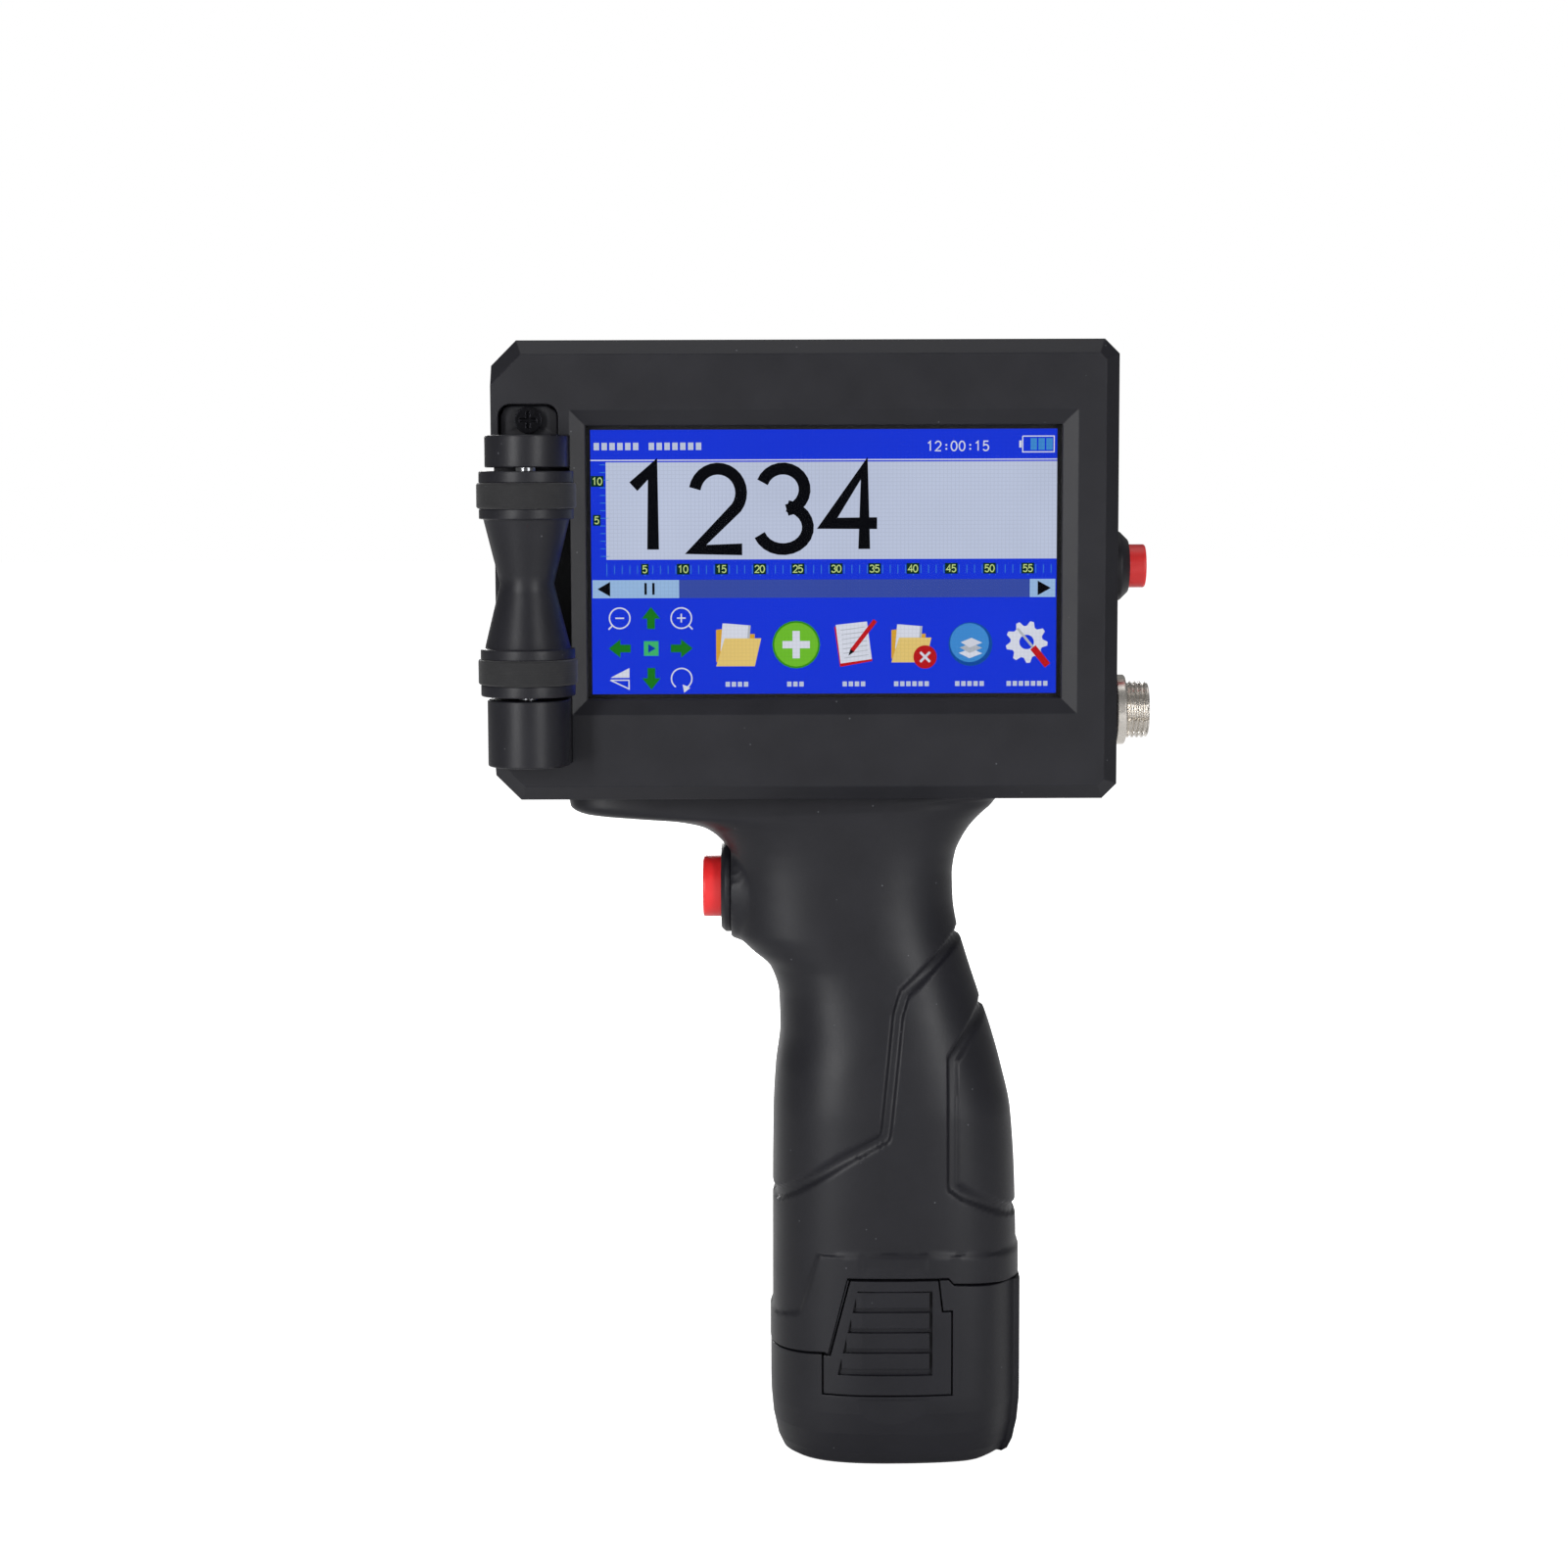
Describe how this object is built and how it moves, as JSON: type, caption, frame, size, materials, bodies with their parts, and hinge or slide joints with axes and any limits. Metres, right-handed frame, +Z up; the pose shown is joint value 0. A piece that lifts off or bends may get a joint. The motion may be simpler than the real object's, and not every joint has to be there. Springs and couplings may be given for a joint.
{
  "type": "handheld date code inkjet printer",
  "caption": "Pistol-grip inkjet coder: screen in a boxy head, guide roller at its left edge, finger trigger, side power button, slide-off battery foot and rear-loading ink cartridge.",
  "frame": {"origin": "centre of the battery foot's flat underside, on the middle plane of the grip", "axes": "+Z up through the grip to the head, -Y towards the operator and the screen, -X towards the surface being printed"},
  "size_m": [0.1387, 0.089, 0.2374],
  "materials": {
    "black_abs": "fine moulded texture",
    "tyre_rubber": "matte rubber",
    "red_plastic": "satin",
    "screen_glass": "polished",
    "screen_module": "lit screen",
    "circuit_board": "solder mask",
    "dark_component": "moulded epoxy",
    "black_screw": "black oxide, glossy",
    "bright_steel": "ground",
    "nickel": "nickel plate",
    "gold_contact": "gold flash",
    "bearing_bronze": "sintered",
    "cartridge_plastic": "fine moulded texture",
    "sponge": "ink soaked foam",
    "grey_lever": "fine moulded texture",
    "cell_wrap": "shrink wrap",
    "red_wire": "insulation"
  },
  "bodies": {
    "housing": {"front_shell": "black_abs", "rear_shell": "black_abs", "shell_screws": "black_screw", "touch_panel": "screen_glass", "lcd_gasket": "tyre_rubber", "lcd_module": "screen_module", "main_board": "circuit_board", "board_chips": "dark_component", "board_screws": "black_screw", "neck_screws": "black_screw", "roller_top_bracket": "black_abs", "roller_bracket_screw": "black_screw", "roller_bearing_upper": "bearing_bronze", "roller_lower_housing": "black_abs", "roller_bearing_lower": "bearing_bronze", "encoder_sensor": "circuit_board", "cartridge_cradle": "black_abs", "contact_board": "circuit_board", "contact_pins": "gold_contact", "latch_pin": "bright_steel", "cartridge_latch_spring": "bright_steel", "trigger_bezel": "black_abs", "trigger_nut": "black_abs", "trigger_spring": "bright_steel", "power_bezel": "black_abs", "power_nut": "black_abs", "power_spring": "bright_steel", "sensor_socket_body": "nickel", "sensor_socket_insert": "dark_component", "sensor_socket_pins": "gold_contact", "sensor_socket_nut": "nickel", "sensor_socket_gasket": "tyre_rubber", "usb_socket": "bright_steel", "grip_shell_front": "black_abs", "grip_shell_rear": "black_abs", "grip_screws": "black_screw", "battery_terminal_block": "dark_component", "battery_terminals": "gold_contact", "battery_leads": "red_wire"},
    "roller": {"roller_core": "black_abs", "roller_tyre_upper": "tyre_rubber", "roller_tyre_lower": "tyre_rubber", "roller_shaft": "bright_steel", "encoder_disc": "bright_steel"},
    "trigger": {"trigger_cap": "red_plastic"},
    "power_button": {"power_cap": "red_plastic"},
    "cartridge": {"ink_cartridge_body": "cartridge_plastic", "ink_sponge": "sponge", "cartridge_lid": "cartridge_plastic", "nozzle_plate": "gold_contact"},
    "cartridge_lever": {"cartridge_latch": "grey_lever"},
    "battery": {"battery_case_lower": "black_abs", "battery_case_upper": "black_abs", "battery_cells": "cell_wrap", "battery_board": "circuit_board", "battery_contacts": "gold_contact", "battery_latch_spring_front": "bright_steel", "battery_latch_spring_rear": "bright_steel"},
    "battery_latch_a": {"battery_latch_front": "black_abs"},
    "battery_latch_b": {"battery_latch_rear": "black_abs"}
  },
  "joints": [
    {"name": "roller_spin", "type": "hinge", "parent": "housing", "child": "roller", "pos_m": [-0.07515, -0.036, 0.18855], "axis": [0, 0, 1], "continuous": true},
    {"name": "trigger_press", "type": "slide", "parent": "housing", "child": "trigger", "axis": [1, 0, 0], "range_m": [0, 0.0025], "stiffness_N_per_m": 600, "springref_m": -0.002, "deforming": ["trigger_spring"]},
    {"name": "power_press", "type": "slide", "parent": "housing", "child": "power_button", "axis": [-1, 0, 0], "range_m": [0, 0.0025], "stiffness_N_per_m": 600, "springref_m": -0.002, "deforming": ["power_spring"]},
    {"name": "cartridge_out", "type": "slide", "parent": "housing", "child": "cartridge", "axis": [0, 1, 0], "range_m": [0, 0.045]},
    {"name": "cartridge_lever_open", "type": "hinge", "parent": "housing", "child": "cartridge_lever", "pos_m": [-0.0067, 0.013, 0.1939], "axis": [0, 0, -1], "range_deg": [0, 13], "stiffness_Nm_per_rad": 0.02, "springref_deg": -8.59, "deforming": ["cartridge_latch_spring"]},
    {"name": "battery_release", "type": "slide", "parent": "housing", "child": "battery", "axis": [0, 0, -1], "range_m": [0, 0.075]},
    {"name": "battery_latch_front_press", "type": "hinge", "parent": "battery", "child": "battery_latch_a", "pos_m": [0, -0.0214, 0.0166], "axis": [-1, 0, 0], "range_deg": [0, 2.4], "stiffness_Nm_per_rad": 0.5, "springref_deg": -2.86, "deforming": ["battery_latch_spring_front"]},
    {"name": "battery_latch_rear_press", "type": "hinge", "parent": "battery", "child": "battery_latch_b", "pos_m": [0, 0.0214, 0.0166], "axis": [1, 0, 0], "range_deg": [0, 2.4], "stiffness_Nm_per_rad": 0.5, "springref_deg": -2.86, "deforming": ["battery_latch_spring_rear"]}
  ]
}
